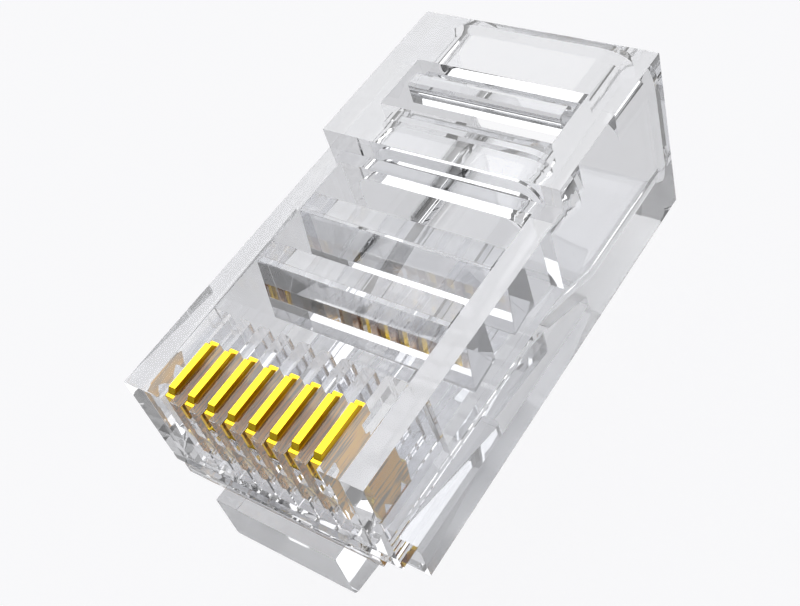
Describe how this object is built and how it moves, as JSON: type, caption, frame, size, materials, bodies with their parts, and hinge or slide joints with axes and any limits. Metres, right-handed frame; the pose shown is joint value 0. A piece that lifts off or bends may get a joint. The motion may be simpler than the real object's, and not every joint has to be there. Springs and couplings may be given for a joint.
{
  "type": "modular plug",
  "caption": "Clear plastic modular plug with gold blade contacts in a slotted nose, a sprung latch under it, clamp bars in its windows and a cable cavity behind.",
  "frame": {"origin": "middle of the nose's front face, the face that goes first into the jack", "axes": "+X across the plug, with the first contact on the -X side; +Y from the nose to the cable entry; +Z towards the contacts, with the latch on the -Z side"},
  "size_m": [0.0116, 0.0231, 0.0111],
  "materials": {
    "clear_plastic": "clear polycarbonate, polished and colourless",
    "contact_gold": "bright gold plating on stamped phosphor bronze"
  },
  "bodies": {
    "housing": {"housing": "clear_plastic"},
    "latch": {"latch_tab": "clear_plastic"},
    "jacket_clamp": {"jacket_clamp_bar": "clear_plastic"},
    "conductor_clamp_front": {"conductor_clamp_bar_front": "clear_plastic"},
    "conductor_clamp_rear": {"conductor_clamp_bar_rear": "clear_plastic"},
    "contact_1": {"contact_1": "contact_gold"},
    "contact_2": {"contact_2": "contact_gold"},
    "contact_3": {"contact_3": "contact_gold"},
    "contact_4": {"contact_4": "contact_gold"},
    "contact_5": {"contact_5": "contact_gold"},
    "contact_6": {"contact_6": "contact_gold"},
    "contact_7": {"contact_7": "contact_gold"},
    "contact_8": {"contact_8": "contact_gold"}
  },
  "joints": [
    {"name": "latch_press", "type": "hinge", "parent": "housing", "child": "latch", "pos_m": [0, 0.0004, -0.00291], "axis": [1, 0, 0], "range_deg": [0, 8.5], "stiffness_Nm_per_rad": 0.3},
    {"name": "jacket_clamp_press", "type": "hinge", "parent": "housing", "child": "jacket_clamp", "pos_m": [0, 0.01902, 0.00305], "axis": [1, 0, 0], "range_deg": [0, 40]},
    {"name": "conductor_clamp_front_press", "type": "slide", "parent": "housing", "child": "conductor_clamp_front", "axis": [0, 0, -1], "range_m": [0, 0.0009]},
    {"name": "conductor_clamp_rear_press", "type": "slide", "parent": "housing", "child": "conductor_clamp_rear", "axis": [0, 0, -1], "range_m": [0, 0.0009]},
    {"name": "contact_1_press", "type": "slide", "parent": "housing", "child": "contact_1", "axis": [0, 0, -1], "range_m": [0, 0.0006]},
    {"name": "contact_2_press", "type": "slide", "parent": "housing", "child": "contact_2", "axis": [0, 0, -1], "range_m": [0, 0.0006]},
    {"name": "contact_3_press", "type": "slide", "parent": "housing", "child": "contact_3", "axis": [0, 0, -1], "range_m": [0, 0.0006]},
    {"name": "contact_4_press", "type": "slide", "parent": "housing", "child": "contact_4", "axis": [0, 0, -1], "range_m": [0, 0.0006]},
    {"name": "contact_5_press", "type": "slide", "parent": "housing", "child": "contact_5", "axis": [0, 0, -1], "range_m": [0, 0.0006]},
    {"name": "contact_6_press", "type": "slide", "parent": "housing", "child": "contact_6", "axis": [0, 0, -1], "range_m": [0, 0.0006]},
    {"name": "contact_7_press", "type": "slide", "parent": "housing", "child": "contact_7", "axis": [0, 0, -1], "range_m": [0, 0.0006]},
    {"name": "contact_8_press", "type": "slide", "parent": "housing", "child": "contact_8", "axis": [0, 0, -1], "range_m": [0, 0.0006]}
  ],
  "couplings": [
    {"joint": "conductor_clamp_rear_press", "follows": "conductor_clamp_front_press", "ratio": 1},
    {"joint": "contact_2_press", "follows": "contact_1_press", "ratio": 1},
    {"joint": "contact_3_press", "follows": "contact_1_press", "ratio": 1},
    {"joint": "contact_4_press", "follows": "contact_1_press", "ratio": 1},
    {"joint": "contact_5_press", "follows": "contact_1_press", "ratio": 1},
    {"joint": "contact_6_press", "follows": "contact_1_press", "ratio": 1},
    {"joint": "contact_7_press", "follows": "contact_1_press", "ratio": 1},
    {"joint": "contact_8_press", "follows": "contact_1_press", "ratio": 1}
  ]
}
